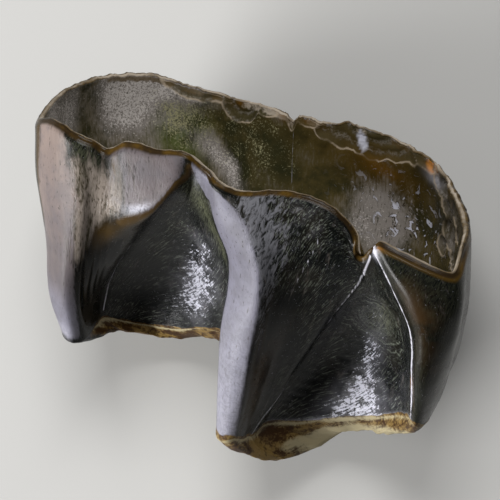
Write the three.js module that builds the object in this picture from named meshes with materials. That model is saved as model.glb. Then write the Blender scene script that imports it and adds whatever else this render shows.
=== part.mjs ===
// Fossil rhinoceros tooth: the hollow, unworn crown of a lower molar, lying on its outer (cheek) wall.
// The crown is drawn as it grew, in a frame of its own: X runs along the jaw, Y goes from the tongue
// side to the cheek side, and Z points up to the open root end. It is then laid down.
import * as THREE from "three";

// Driving dimensions, in millimetres
const crownLength = 54; // along the jaw, between the two end walls
const drawnLength = 54; // the crown length that the points below are drawn for
const rimWall = 1.3; // thickness of the shell at the open rim
const deepWall = 2.2; // and further down in the pulp cavity
const rimLift = 0.25; // how far the middle of the rim stands above its two edges
const crestRounding = 0.15; // bulge of the broken crest, as a share of its width

// How the crown lies: leaned back from upright about X, then rolled about Y until it rests
const leanBack = THREE.MathUtils.degToRad(67.7);
const rollOver = THREE.MathUtils.degToRad(7.7);

// Mesh steps
const columns = 64; // on the tongue side, and as many on the cheek side
const outerRows = 15;
const innerRows = 10;
const normalSmoothing = 3;

// How the cavity runs: it follows the outer wall for cavityReach of the way down, and closes on its floor
const levels = 5;
const cavityReach = 0.55;
const floorPull = 3.5; // the power with which the wall turns in to the floor line
const thickenBy = 0.6; // share of the cavity's depth over which rimWall grows to deepWall

// Rails run down the outer surface, from the open rim to the crest, five points each.
// Tongue side, left to right: the front pillar, its flat facet, the first valley, the middle pillar with its
// fluted flank, the second valley, and the back pillar with the end wall.
const tongueRails = {
  leftEnd: [[-26, 13.5, 36.8], [-25.6, 13, 29], [-23.5, 12, 21.5], [-20.8, 10.5, 15.5], [-17.5, 9.5, 10.4]],
  leftFront: [[-25, 6.5, 36], [-23.6, 5.5, 30], [-21.4, 5, 23.6], [-20.3, 5, 17], [-18.8, 6.6, 11.7]],
  pillarA1: [[-22.3, 4, 37.4], [-21.1, 3, 31], [-19.3, 2.6, 24.5], [-18.5, 3, 18.2], [-17.8, 5.4, 11.6]],
  pillarA2: [[-19.9, 2.6, 37.7], [-18.4, 1.6, 31.7], [-17.2, 1.4, 25.5], [-16.9, 2.2, 18.5], [-16.6, 5.2, 11.6]],
  pillarA3: [[-17.5, 2, 37.4], [-16.1, 1.2, 32], [-15.7, 1.6, 25.4], [-15.9, 3.2, 18.3], [-15.9, 6.2, 11.8]],
  grooveA: [[-15.8, 2.4, 37.1], [-14.7, 2, 31.2], [-15.1, 3.2, 24.4], [-16, 5.4, 17.1], [-15.9, 7.6, 12]],
  notchA: [[-14.3, 2.8, 36.5], [-13.4, 2.4, 30.3], [-14.5, 4.4, 24.2], [-16.1, 7.2, 16.5], [-16.1, 9, 12.2]],
  facet1: [[-12.1, 2.4, 38.2], [-10.6, 2, 30.7], [-13, 5, 25.2], [-16.1, 9, 16.5], [-16.2, 10, 12.2]],
  facet2: [[-8.5, 2, 38.5], [-7.6, 1.6, 32.5], [-10.6, 4.8, 27.3], [-15.9, 10, 16.9], [-16.3, 10.8, 12.3]],
  facet3: [[-5.4, 2, 39.1], [-5, 1.8, 35.9], [-8.1, 4.8, 30.8], [-15.6, 10.6, 17.5], [-16.2, 11.2, 12.4]],
  crease1: [[-4.3, 2.2, 38.9], [-4.5, 3.4, 34.9], [-7.8, 6, 30.1], [-15, 11, 18.1], [-16.1, 11.8, 12.3]],
  wall1a: [[-3.8, 2.4, 38.5], [-4.7, 4.8, 33.1], [-7.8, 9, 26.3], [-13.1, 14, 16], [-13.5, 15.4, 10.9]],
  wall1b: [[-3.3, 2.5, 38.1], [-4.2, 5, 32.5], [-6.2, 10, 25.2], [-8.7, 14.5, 16.6], [-9.3, 16, 11.2]],
  wall1c: [[-2.8, 2.5, 37.8], [-3.3, 4.8, 32.5], [-3.3, 8.4, 26.1], [-4.2, 12.2, 18.7], [-4.8, 14, 13.6]],
  corner1: [[-2.2, 2.4, 37.6], [-2.3, 4.4, 32.5], [-1.1, 7.2, 26.9], [-1.1, 10, 20.2], [-2.4, 13.5, 14]],
  innerEdgeB: [[-1.6, 2.2, 37.3], [-1.4, 3.4, 32.9], [0.4, 5, 27.8], [0.4, 6.4, 21.5], [0.3, 9, 8.6]],
  edgeB: [[-0.9, 2, 37.1], [-0.4, 2, 33.4], [1.8, 2.6, 28.4], [1.6, 3.4, 18.8], [1.8, 5.6, 5.9]],
  pillarB1: [[0.7, 1.8, 36.9], [2.2, 0.9, 33.3], [4.1, 1, 28.5], [3.9, 1.6, 19.1], [3.4, 4.4, 6.4]],
  pillarB2: [[2.6, 1.6, 37.1], [4.8, 0.4, 33.5], [6.3, 0.4, 28.3], [5.8, 1.6, 19.1], [4.2, 4.8, 6.8]],
  fluted1: [[5.5, 1.6, 38.1], [7.5, 1.2, 33.2], [7.6, 2.4, 25.7], [6.1, 4.6, 16.1], [4.4, 6.4, 6.1]],
  fluted2: [[9.1, 1.6, 38.7], [10.4, 1.8, 33.9], [9.2, 4.4, 24.9], [6.2, 7.4, 14.4], [4.4, 8, 5.4]],
  fluted3: [[12.5, 1.8, 38.2], [13.2, 2.4, 33.6], [10.7, 5.8, 24.1], [6.7, 9, 13.3], [4.3, 9.4, 4.9]],
  marginB: [[14.8, 2.2, 36.3], [14.8, 3.4, 32.2], [11.9, 7, 23.3], [7.3, 10.2, 12.8], [4.4, 10.6, 5]],
  crease2: [[15.3, 2.8, 33.7], [16, 4.4, 30.9], [12.2, 8.4, 23.2], [7.7, 11.4, 13.8], [4.8, 12, 5.6]],
  wall2a: [[15.7, 3, 33.2], [16.4, 5.4, 29.8], [13.4, 10.4, 22.3], [9.9, 13.8, 13.6], [7.2, 14.2, 5.6]],
  wall2b: [[16.3, 3, 33.2], [16.9, 5.6, 29.5], [15.6, 10.8, 22.4], [13.9, 14.2, 14.4], [11.8, 15, 7.4]],
  wall2c: [[16.8, 2.8, 33.8], [17.7, 5.2, 30.1], [18.2, 9.2, 24], [17.6, 12.6, 16.3], [17.3, 13.5, 10.2]],
  corner2: [[17.1, 2.6, 34.6], [18.6, 4.2, 30.8], [20.6, 7, 24.9], [21.3, 8.6, 19.3], [21, 10, 13.2]],
  innerEdgeC: [[17.4, 2.3, 35.3], [19.6, 2.2, 32.4], [22.7, 3.4, 26.9], [23.4, 4.6, 21.4], [23.3, 7, 14.8]],
  edgeC: [[18, 2, 36], [20.5, 1.2, 33.2], [23.7, 1.8, 27.7], [24.2, 3, 22.2], [23.9, 6.6, 14.6]],
  frontC1: [[19.9, 1.8, 35.9], [22.3, 0.8, 32.9], [25, 1.5, 27.8], [25.1, 3, 21.7], [24.3, 7.4, 14.2]],
  frontC2: [[23.7, 2, 35.2], [25.5, 1.4, 32], [26.4, 2.8, 26.6], [25.8, 5.2, 19.9], [24.4, 9, 14]],
  cornerR: [[26.7, 3, 34.7], [27.6, 3.2, 31.5], [27, 5.6, 25.1], [25.6, 8.6, 18.3], [24.1, 10.8, 13.6]],
  endR1: [[26.4, 6.4, 36.1], [26.7, 7.5, 30.7], [26.2, 9, 24], [25, 11, 17.2], [23.5, 12.4, 12.6]],
};
// Cheek side, right to left: the back lobe, the waist between the lobes, and the front lobe.
const cheekRails = {
  endR2: [[24.8, 11.5, 36.6], [25.6, 12.5, 28], [24.8, 14, 20], [23, 14, 14.5], [22.5, 13.4, 11.4]],
  backLobe1: [[21, 18, 36.5], [22, 20, 27], [21, 20.5, 18.5], [19.5, 18.5, 12.5], [20.5, 15, 9]],
  backLobe2: [[14.5, 25.5, 36.5], [15, 27, 27], [14, 26.5, 17], [13.5, 23, 9], [14.5, 17.5, 5.5]],
  backLobe3: [[4.5, 28.5, 36.5], [5.5, 29, 27], [7, 27.5, 16], [8.5, 23.5, 7.5], [10, 17, 2.5]],
  backLobe4: [[-1.5, 27, 36.5], [-0.5, 27.5, 27], [1, 26, 17], [4.5, 21.5, 7], [7, 14.5, 1]],
  waist: [[-4.5, 26.5, 36.5], [-4.5, 25.8, 28], [-3.5, 23.5, 20], [-0.5, 18.5, 12.5], [3.5, 11, 2.5]],
  frontLobe1: [[-8.5, 27, 36.5], [-8.5, 27.4, 29], [-7.5, 26, 21.5], [-5, 21.5, 15], [-3, 15.5, 11.5]],
  frontLobe2: [[-14, 26.5, 36.5], [-13.5, 27.8, 29], [-12.5, 27, 21.5], [-10, 23, 14], [-8.5, 18.5, 9.5]],
  frontLobe3: [[-20.5, 25.5, 36.5], [-20, 26, 29], [-18.5, 25, 21.5], [-14.5, 21.5, 14.5], [-13, 17.5, 9]],
  frontLobe4: [[-24.5, 21, 36.5], [-24.5, 21, 29], [-22.5, 20, 21.5], [-18.5, 16.5, 15], [-16, 14, 10.3]],
};
// The lowest line of the pulp cavity, left to right
const floorLine = [
  [-19.5, 11, 25.5], [-14.5, 15.5, 18.5], [-9, 19.5, 16.5], [-3.5, 18.5, 18], [2, 17.5, 15.5],
  [8, 19.5, 11.5], [14, 19, 12.5], [19, 15, 17.5], [22, 11.5, 25],
];
// Chips along the cheek rim: where (in rails from the left end), half width in rails, how much of the wall is
// spalled off inside, how far down the rail it reaches (in rail points), and how much the rim is lowered
const chips = [
  { at: 41.2, half: 0.5, bite: 0.45, reach: 0.35, drop: 0.02 },
  { at: 40.2, half: 0.55, bite: 0.5, reach: 0.55, drop: 0.03 },
  { at: 38.4, half: 0.45, bite: 0.3, reach: 0.3, drop: 0.03 },
  { at: 37, half: 0.95, bite: 0.5, reach: 0.6, drop: 0.03 },
  { at: 35.3, half: 1.1, bite: 0.45, reach: 0.8, drop: 0.02 },
];

const scale = crownLength / drawnLength;
const toPoint = ([x, y, z]) => new THREE.Vector3(x, y, z).multiplyScalar(scale);
const tongueCount = Object.keys(tongueRails).length;
const rails = [...Object.values(tongueRails), ...Object.values(cheekRails)].map((rail) => rail.map(toPoint));
const railCount = rails.length;

// One closed curve round the crown at each level of the rails
const rings = Array.from({ length: levels }, (_, level) => {
  return new THREE.CatmullRomCurve3(rails.map((rail) => rail[level]), true, "centripetal");
});

// Column j runs down the wall at this many rails from the left end; column 2 * columns - j faces it
function railPosition(j) {
  if (j <= columns) return (tongueCount * j) / columns;
  return tongueCount + ((railCount - tongueCount) * (j - columns)) / columns;
}

function columnCurve(position) {
  const points = rings.map((ring) => ring.getPoint((position % railCount) / railCount));
  return new THREE.CatmullRomCurve3(points, false, "centripetal");
}

// How far this column is inside a chip, 0 to 1, for each chip
function chipShare(position, chip) {
  const away = (position - chip.at) / chip.half;
  return Math.max(0, 1 - away * away);
}

const smoothstep = (x) => THREE.MathUtils.smoothstep(x, 0, 1);
const columnTotal = 2 * columns;
const outer = [];
const inner = [];
for (let j = 0; j < columnTotal; j++) {
  const position = railPosition(j);
  const curve = columnCurve(position);
  const drop = chips.reduce((sum, chip) => sum + chip.drop * chipShare(position, chip), 0);
  const down = (share) => curve.getPoint(drop + (1 - drop) * share);
  outer.push(Array.from({ length: outerRows + 1 }, (_, i) => down(i / outerRows)));
  inner.push(Array.from({ length: innerRows + 1 }, (_, i) => down((cavityReach * i) / innerRows)));
}

// The directions that point into the shell, smoothed along the ring; level at the rim
function inwardNormals(grid) {
  let normals = grid.map((column, j) => {
    const next = grid[(j + 1) % columnTotal];
    const last = grid[(j + columnTotal - 1) % columnTotal];
    return column.map((point, i) => {
      const along = next[i].clone().sub(last[i]);
      const downward = column[Math.min(i + 1, innerRows)].clone().sub(column[Math.max(i - 1, 0)]);
      if (i === 0) along.z = 0;
      if (i === 0) downward.set(0, 0, -1);
      return along.cross(downward).normalize();
    });
  });
  for (let pass = 0; pass < normalSmoothing; pass++) {
    normals = normals.map((column, j) =>
      column.map((normal, i) => {
        const last = normals[(j + columnTotal - 1) % columnTotal][i];
        const next = normals[(j + 1) % columnTotal][i];
        return normal.clone().multiplyScalar(2).add(last).add(next).normalize();
      }),
    );
  }
  return normals;
}

// The cavity wall: the outer wall drawn in by the shell's thickness, then in to the floor line
const floorCurve = new THREE.CatmullRomCurve3(floorLine.map(toPoint), false, "centripetal");
const inward = inwardNormals(inner);
for (let j = 0; j < columnTotal; j++) {
  const position = railPosition(j);
  const floor = floorCurve.getPoint(Math.min(j, columnTotal - j) / columns);
  inner[j].forEach((point, i) => {
    const share = i / innerRows;
    let wall = rimWall + (deepWall - rimWall) * smoothstep(share / thickenBy);
    for (const chip of chips) {
      const railStep = cavityReach * share * (levels - 1);
      wall -= rimWall * chip.bite * chipShare(position, chip) * (1 - smoothstep(railStep / chip.reach));
    }
    point.addScaledVector(inward[j][i], wall * scale);
    point.lerp(floor, share ** floorPull);
  });
}

// Every vertex once, in rows that the faces below join
const vertices = [];
const addVertex = (point) => vertices.push(point) - 1;
const outerIds = outer.map((column) => column.map(addVertex));
const innerIds = inner.map((column) => column.slice(0, innerRows).map(addVertex));
const floorIds = inner.slice(0, columns + 1).map((column) => addVertex(column[innerRows]));
innerIds.forEach((column, j) => column.push(floorIds[Math.min(j, columnTotal - j)]));
const rimIds = outer.map((column, j) => {
  const middle = column[0].clone().add(inner[j][0]).multiplyScalar(0.5);
  middle.z += rimLift * scale;
  return [outerIds[j][0], addVertex(middle), innerIds[j][0]];
});
// The crest joins each tongue column to the cheek column that faces it, over a low bulge
const crestIds = Array.from({ length: columns + 1 }, (_, j) => {
  const facing = (columnTotal - j) % columnTotal;
  const here = outerIds[j][outerRows];
  if (facing === j) return [here, here, here];
  const near = outer[j][outerRows];
  const far = outer[facing][outerRows];
  const away = near.clone().sub(outer[j][outerRows - 1]).normalize();
  away.add(far.clone().sub(outer[facing][outerRows - 1]).normalize()).normalize();
  const middle = near.clone().add(far).multiplyScalar(0.5);
  middle.addScaledVector(away, crestRounding * near.distanceTo(far));
  return [here, addVertex(middle), outerIds[facing][outerRows]];
});

// Two triangles for each cell between neighbouring columns, without those that have collapsed
const faces = [];
function addFace(a, b, c) {
  if (a !== b && b !== c && a !== c) faces.push(a, b, c);
}
function joinColumns(ids, closed, turned) {
  const last = closed ? ids.length : ids.length - 1;
  for (let j = 0; j < last; j++) {
    const next = ids[(j + 1) % ids.length];
    for (let i = 0; i + 1 < ids[j].length; i++) {
      const corners = [ids[j][i], ids[j][i + 1], next[i + 1], next[i]];
      if (turned) corners.reverse();
      addFace(corners[0], corners[1], corners[2]);
      addFace(corners[0], corners[2], corners[3]);
    }
  }
}
joinColumns(outerIds, true, false);
joinColumns(crestIds, false, false);
joinColumns(innerIds, true, true);
joinColumns(rimIds, true, true);

const geometry = new THREE.BufferGeometry();
geometry.setAttribute("position", new THREE.Float32BufferAttribute(vertices.flatMap((v) => v.toArray()), 3));
geometry.setIndex(faces);
geometry.computeVertexNormals();

const enamel = new THREE.MeshStandardMaterial({ color: 0x2c2a22, roughness: 0.3, metalness: 0 });
const crown = new THREE.Mesh(geometry, enamel);
crown.name = "tooth_crown";

// Laid down, then moved so that the middle of its footprint is the origin and its lowest point is at zero
const leaned = new THREE.Group();
leaned.rotation.x = -leanBack;
leaned.add(crown);
const rolled = new THREE.Group();
rolled.rotation.y = -rollOver;
rolled.add(leaned);
const fossilTooth = new THREE.Group();
fossilTooth.add(rolled);
const box = new THREE.Box3().setFromObject(fossilTooth, true);
const middle = box.getCenter(new THREE.Vector3());
rolled.position.set(-middle.x, -middle.y, -box.min.z);

export default fossilTooth;
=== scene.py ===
import itertools
import math

import bpy
import numpy as np
from mathutils import Matrix, Vector


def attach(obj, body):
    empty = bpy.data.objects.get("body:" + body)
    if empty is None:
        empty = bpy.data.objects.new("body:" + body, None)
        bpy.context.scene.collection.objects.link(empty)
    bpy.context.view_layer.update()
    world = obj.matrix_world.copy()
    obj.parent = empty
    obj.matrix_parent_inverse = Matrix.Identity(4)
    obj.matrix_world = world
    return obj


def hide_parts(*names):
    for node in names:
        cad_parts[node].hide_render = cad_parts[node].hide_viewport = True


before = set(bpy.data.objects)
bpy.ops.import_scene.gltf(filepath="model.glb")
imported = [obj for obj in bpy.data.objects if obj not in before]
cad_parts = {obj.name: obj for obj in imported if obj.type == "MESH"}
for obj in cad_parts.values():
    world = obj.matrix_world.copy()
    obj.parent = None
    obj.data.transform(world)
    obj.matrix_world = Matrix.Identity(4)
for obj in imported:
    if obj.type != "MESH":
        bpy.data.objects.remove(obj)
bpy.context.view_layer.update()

metres = 0.001          # everything below is drawn in millimetres

# A hollow tooth crown that lies on its cheek wall. It is drawn upright, as it grew: X along the jaw,
# Y from the tongue side to the cheek side, Z up to the open root end.
crown = {
    "leanBack": 67.7,        # degrees, how it was laid down: about X first
    "rollOver": 7.7,         # then about Y
    "laidAt": (-0.062, -24.884, 18.403),    # where the upright frame's origin comes to lie
    "columns": 276,          # mesh columns on the tongue side, as many on the cheek side
    "outerRows": 104,
    "innerRows": 58,
    "rimRows": 6,
    "crestRows": 10,
    "evenColumns": 0.5,      # 0 spaces the columns by rail, 1 by length
    # rail, spread, how much closer the columns stand there
    "closeColumns": [(15.7, 0.5, 0.9), (22.6, 0.6, 0.8), (28.3, 0.5, 1.6)],
    "endRows": 0.55,         # how much closer the rows stand near the rim and the crest
    "rimWall": 0.95,         # thickness of the shell at the rim
    "deepWall": 2.2,         # and deep in the cavity
    "thickenBy": 0.6,        # share of the depth over which it thickens
    "cavityReach": 0.55,     # how far down the outer wall the cavity follows it
    "floorPull": 3.5,        # power with which the cavity closes on its floor line
    "normalBlur": 48,        # smoothing passes on the wall's directions before the cavity is offset
    "rimLift": 0.22,         # how far the middle of the rim stands up
    "rimShoulder": 0.36,     # how far the outer wall rounds in at the rim
    "crestBulge": 0.13,      # share of the broken crest's width, between the pillars
    "crestFlat": 0.75,       # how much of that is left in the valleys
    # unevenness as (height, size, seed), in millimetres
    "rimRough": [(0.07, 0.7, 41)],
    "crestRough": [(0.26, 1.9, 51), (0.16, 0.7, 52), (0.07, 0.35, 53)],
    "cavityRough": [(0.06, 2.6, 31), (0.03, 0.9, 32)],
}
farAway = 9.0           # a distance in millimetres at which no line or edge shows

# Rails down the outer wall, rim to crest, in millimetres
tongueRails = [
    [(-26, 13.5, 36.8), (-25.6, 13, 29), (-23.5, 12, 21.5), (-20.8, 10.5, 15.5), (-17.5, 9.5, 10.4)],
    [(-25, 6.5, 36), (-23.6, 5.5, 30), (-21.4, 5, 23.6), (-20.3, 5, 17), (-18.8, 6.6, 11.7)],
    [(-22.3, 4, 37.4), (-21.1, 3, 31), (-19.3, 2.6, 24.5), (-18.5, 3, 18.2), (-17.8, 5.4, 11.6)],
    [(-19.9, 2.6, 37.7), (-18.4, 1.6, 31.7), (-17.2, 1.4, 25.5), (-16.9, 2.2, 18.5), (-16.6, 5.2, 11.6)],
    [(-17.5, 2, 37.4), (-16.1, 1.2, 32), (-15.7, 1.6, 25.4), (-15.9, 3.2, 18.3), (-15.9, 6.2, 11.8)],
    [(-15.8, 2.4, 37.1), (-14.7, 2, 31.2), (-15.1, 3.2, 24.4), (-16, 5.4, 17.1), (-15.9, 7.6, 12)],
    [(-14.3, 2.8, 36.5), (-13.4, 2.4, 30.3), (-14.5, 4.4, 24.2), (-16.1, 7.2, 16.5), (-16.1, 9, 12.2)],
    [(-12.1, 2.4, 38.2), (-10.6, 2, 30.7), (-13, 5, 25.2), (-16.1, 9, 16.5), (-16.2, 10, 12.2)],
    [(-8.5, 2, 38.5), (-7.6, 1.6, 32.5), (-10.6, 4.8, 27.3), (-15.9, 10, 16.9), (-16.3, 10.8, 12.3)],
    [(-5.4, 2, 39.1), (-5, 1.8, 35.9), (-8.1, 4.8, 30.8), (-15.6, 10.6, 17.5), (-16.2, 11.2, 12.4)],
    [(-4.3, 2.2, 38.9), (-4.5, 3.4, 34.9), (-7.8, 6, 30.1), (-15, 11, 18.1), (-16.1, 11.8, 12.3)],
    [(-3.8, 2.4, 38.5), (-4.7, 4.8, 33.1), (-7.8, 9, 26.3), (-13.1, 14, 16), (-13.5, 15.4, 10.9)],
    [(-3.3, 2.5, 38.1), (-4.2, 5, 32.5), (-6.2, 10, 25.2), (-8.7, 14.5, 16.6), (-9.3, 16, 11.2)],
    [(-2.8, 2.5, 37.8), (-3.3, 4.8, 32.5), (-3.3, 8.4, 26.1), (-4.2, 12.2, 18.7), (-4.8, 14, 13.6)],
    [(-2.2, 2.4, 37.6), (-2.3, 4.4, 32.5), (-1.1, 7.2, 26.9), (-1.1, 10, 20.2), (-2.4, 13.5, 14)],
    [(-1.6, 2.2, 37.3), (-1.4, 3.4, 32.9), (0.4, 5, 27.8), (0.4, 6.4, 21.5), (0.3, 9, 8.6)],
    [(-0.9, 2, 37.1), (-0.4, 2, 33.4), (1.8, 2.6, 28.4), (1.6, 3.4, 18.8), (1.8, 5.6, 5.9)],
    [(0.7, 1.8, 36.9), (2.2, 0.9, 33.3), (4.1, 1, 28.5), (3.9, 1.6, 19.1), (3.4, 4.4, 6.4)],
    [(2.6, 1.6, 37.1), (4.8, 0.4, 33.5), (6.3, 0.4, 28.3), (5.8, 1.6, 19.1), (4.2, 4.8, 6.8)],
    [(5.5, 1.6, 38.1), (7.5, 1.2, 33.2), (7.6, 2.4, 25.7), (6.1, 4.6, 16.1), (4.4, 6.4, 6.1)],
    [(9.1, 1.6, 38.7), (10.4, 1.8, 33.9), (9.2, 4.4, 24.9), (6.2, 7.4, 14.4), (4.4, 8, 5.4)],
    [(12.5, 1.8, 38.2), (13.2, 2.4, 33.6), (10.7, 5.8, 24.1), (6.7, 9, 13.3), (4.3, 9.4, 4.9)],
    [(14.8, 2.2, 36.3), (14.8, 3.4, 32.2), (11.9, 7, 23.3), (7.3, 10.2, 12.8), (4.4, 10.6, 5)],
    [(15.3, 2.8, 33.7), (16, 4.4, 30.9), (12.2, 8.4, 23.2), (7.7, 11.4, 13.8), (4.8, 12, 5.6)],
    [(15.7, 3, 33.2), (16.4, 5.4, 29.8), (13.4, 10.4, 22.3), (9.9, 13.8, 13.6), (7.2, 14.2, 5.6)],
    [(16.3, 3, 33.2), (16.9, 5.6, 29.5), (15.6, 10.8, 22.4), (13.9, 14.2, 14.4), (11.8, 15, 7.4)],
    [(16.8, 2.8, 33.8), (17.7, 5.2, 30.1), (18.2, 9.2, 24), (17.6, 12.6, 16.3), (17.3, 13.5, 10.2)],
    [(17.1, 2.6, 34.6), (18.6, 4.2, 30.8), (20.6, 7, 24.9), (21.3, 8.6, 19.3), (21, 10, 13.2)],
    [(17.4, 2.3, 35.3), (19.6, 2.2, 32.4), (22.7, 3.4, 26.9), (23.4, 4.6, 21.4), (23.3, 7, 14.8)],
    [(18, 2, 36), (20.5, 1.2, 33.2), (23.7, 1.8, 27.7), (24.2, 3, 22.2), (23.9, 6.6, 14.6)],
    [(19.9, 1.8, 35.9), (22.3, 0.8, 32.9), (25, 1.5, 27.8), (25.1, 3, 21.7), (24.3, 7.4, 14.2)],
    [(23.7, 2, 35.2), (25.5, 1.4, 32), (26.4, 2.8, 26.6), (25.8, 5.2, 19.9), (24.4, 9, 14)],
    [(26.7, 3, 34.7), (27.6, 3.2, 31.5), (27, 5.6, 25.1), (25.6, 8.6, 18.3), (24.1, 10.8, 13.6)],
    [(26.4, 6.4, 36.1), (26.7, 7.5, 30.7), (26.2, 9, 24), (25, 11, 17.2), (23.5, 12.4, 12.6)],
]
cheekRails = [
    [(24.8, 11.5, 36.6), (25.6, 12.5, 28), (24.8, 14, 20), (23, 14, 14.5), (22.5, 13.4, 11.4)],
    [(21, 18, 36.5), (22, 20, 27), (21, 20.5, 18.5), (19.5, 18.5, 12.5), (20.5, 15, 9)],
    [(14.5, 25.5, 36.5), (15, 27, 27), (14, 26.5, 17), (13.5, 23, 9), (14.5, 17.5, 5.5)],
    [(4.5, 28.5, 36.5), (5.5, 29, 27), (7, 27.5, 16), (8.5, 23.5, 7.5), (10, 17, 2.5)],
    [(-1.5, 27, 36.5), (-0.5, 27.5, 27), (1, 26, 17), (4.5, 21.5, 7), (7, 14.5, 1)],
    [(-4.5, 26.5, 36.5), (-4.5, 25.8, 28), (-3.5, 23.5, 20), (-0.5, 18.5, 12.5), (3.5, 11, 2.5)],
    [(-8.5, 27, 36.5), (-8.5, 27.4, 29), (-7.5, 26, 21.5), (-5, 21.5, 15), (-3, 15.5, 11.5)],
    [(-14, 26.5, 36.5), (-13.5, 27.8, 29), (-12.5, 27, 21.5), (-10, 23, 14), (-8.5, 18.5, 9.5)],
    [(-20.5, 25.5, 36.5), (-20, 26, 29), (-18.5, 25, 21.5), (-14.5, 21.5, 14.5), (-13, 17.5, 9)],
    [(-24.5, 21, 36.5), (-24.5, 21, 29), (-22.5, 20, 21.5), (-18.5, 16.5, 15), (-16, 14, 10.3)],
]
# The lowest line of the pulp cavity, left to right
floorLine = np.array([
    (-19.5, 11, 25.5), (-14.5, 15.5, 18.5), (-9, 19.5, 16.5), (-3.5, 18.5, 18), (2, 17.5, 15.5),
    (8, 19.5, 11.5), (14, 19, 12.5), (19, 15, 17.5), (22, 11.5, 25),
])
rails = np.array(tongueRails + cheekRails, float)
railCount = len(rails)
tongueCount = len(tongueRails)


# Smooth step from 0 to 1: 3x^2 - 2x^3
def ease(x, low=0.0, high=1.0):
    x = np.clip((x - low) / (high - low), 0, 1)
    return x * x * (3 - 2 * x)


# One stretch of a curve, b where f is 0 and c where it is 1: a cubic whose end slopes come from the
# neighbours a and d, weighed by the square root of the distances between the points
def cubicBetween(a, b, c, d, f):
    h0, h1, h2 = [np.maximum(np.linalg.norm(y - x, axis=-1, keepdims=True) ** 0.5, 1e-4)
                  for x, y in ((a, b), (b, c), (c, d))]
    slope1 = ((b - a) / h0 - (c - a) / (h0 + h1) + (c - b) / h1) * h1
    slope2 = ((c - b) / h1 - (d - b) / (h1 + h2) + (d - c) / h2) * h1
    cubic = 2 * (b - c) + slope1 + slope2
    square = 3 * (c - b) - 2 * slope1 - slope2
    return b + f * slope1 + f ** 2 * square + f ** 3 * cubic


# The points with one more at each end, as far on again as the last step: 2 * end - next
def lengthened(points):
    return np.concatenate([2 * points[:1] - points[1:2], points, 2 * points[-1:] - points[-2:-1]])


# A curve through the points, read at s (whole numbers are the points)
def spline(points, s, closed):
    n = len(points)
    k = np.floor(s).astype(int)
    if closed:
        ends = [points[(k + i) % n] for i in (-1, 0, 1, 2)]
    else:
        k = np.clip(k, 0, n - 2)
        ends = [lengthened(points)[k + i] for i in (0, 1, 2, 3)]
    f = (s - k).reshape((-1,) + (1,) * (points.ndim - 1))
    return cubicBetween(*ends, f)


# The outer wall: a closed spline round the rails at each level, then a spline down each column.
# down has one row of positions (0 rim to 1 crest) for each column.
def wallAt(around, down):
    ring = np.swapaxes(spline(rails, around, True), 0, 1)
    levels = ring.shape[0] - 1
    s = down * levels
    k = np.clip(np.floor(s).astype(int), 0, levels - 1)
    columns = np.arange(len(around))[:, None]
    ends = [lengthened(ring)[k + i, columns] for i in (0, 1, 2, 3)]
    return cubicBetween(*ends, (s - k)[..., None])


# Value noise from -1 to 1: a random number at each lattice corner, joined by smooth steps
def noise(points, seed):
    q = points + seed * 19.19
    cell = np.floor(q).astype(np.int64)
    f = q - cell
    f = f * f * (3 - 2 * f)
    total = np.zeros(q.shape[:-1])
    for corner in itertools.product((0, 1), repeat=q.shape[-1]):
        mixed = np.zeros(q.shape[:-1], np.int64)
        weight = np.ones(q.shape[:-1])
        for axis, step in enumerate(corner):
            mixed = mixed * 31337 + (cell[..., axis] + step) * (axis + 1) * 7919
            weight = weight * (f[..., axis] if step else 1 - f[..., axis])
        mixed = (mixed ^ (mixed >> 7)) * 2654435761 % 4294967296
        mixed = (mixed ^ (mixed >> 13)) * 1274126177 % 4294967296
        total += weight * (mixed / 2147483648.0 - 1)
    return total


# A rough surface: height * noise for each (height, size, seed), added up
def rough(points, layers):
    return sum(height * noise(points / size, seed) for height, size, seed in layers)


# Directions of a closed grid of columns, at right angles to it, pointing into the shell
def inwardOf(grid):
    along = np.roll(grid, -1, 0) - np.roll(grid, 1, 0)
    down = np.gradient(grid, axis=1)
    direction = np.cross(along, down)
    return direction / np.maximum(np.linalg.norm(direction, axis=-1, keepdims=True), 1e-9)


# Column places round the ring: the weight of each stretch is its share of the rails and of the length, and
# more near the sharp edges; equal weight goes between neighbouring columns. The two sides face each other.
def columnPlaces():
    perRail = 40
    fine = np.linspace(0, railCount, perRail * railCount + 1)
    ring = spline(rails[:, 1] * 0.5 + rails[:, 2] * 0.5, fine, True)
    steps = np.linalg.norm(np.diff(ring, axis=0), axis=1)
    length = np.concatenate([[0], np.cumsum(steps)])
    cut = perRail * tongueCount
    sides = []
    for low, high in ((0, cut), (cut, perRail * railCount)):
        stretch = steps[low:high] / steps[low:high].sum()
        weight = 1 / (high - low) + crown["evenColumns"] * (stretch - 1 / (high - low))
        middle = (fine[low:high] + fine[low + 1:high + 1]) / 2
        closer = sum(more * np.exp(-((middle - at) / spread) ** 2)
                     for at, spread, more in crown["closeColumns"])
        total = np.concatenate([[0], np.cumsum(weight * (1 + closer))])
        sides.append(np.interp(np.linspace(0, total[-1], crown["columns"] + 1), total, fine[low:high + 1]))
    around = np.concatenate([sides[0], sides[1][1:-1]])
    return around, np.interp(around, fine, length)


around, across = columnPlaces()
halfColumns = crown["columns"]
columnTotal = 2 * halfColumns
u = around[:, None]
print("crown: %d columns round the wall" % columnTotal)


# A soft spot on the wall, 1 in its middle: a bell curve in rails and in depth
def spot(place, depth, at, level, width, height):
    away = (place - at + railCount / 2) % railCount - railCount / 2
    return np.exp(-(away / width) ** 2 - ((depth - level) / height) ** 2)


# 1 between two rails, easing over soft rails at each side
def between(place, low, high, soft):
    return ease(place, low - soft, low + soft) * (1 - ease(place, high - soft, high + soft))


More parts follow.
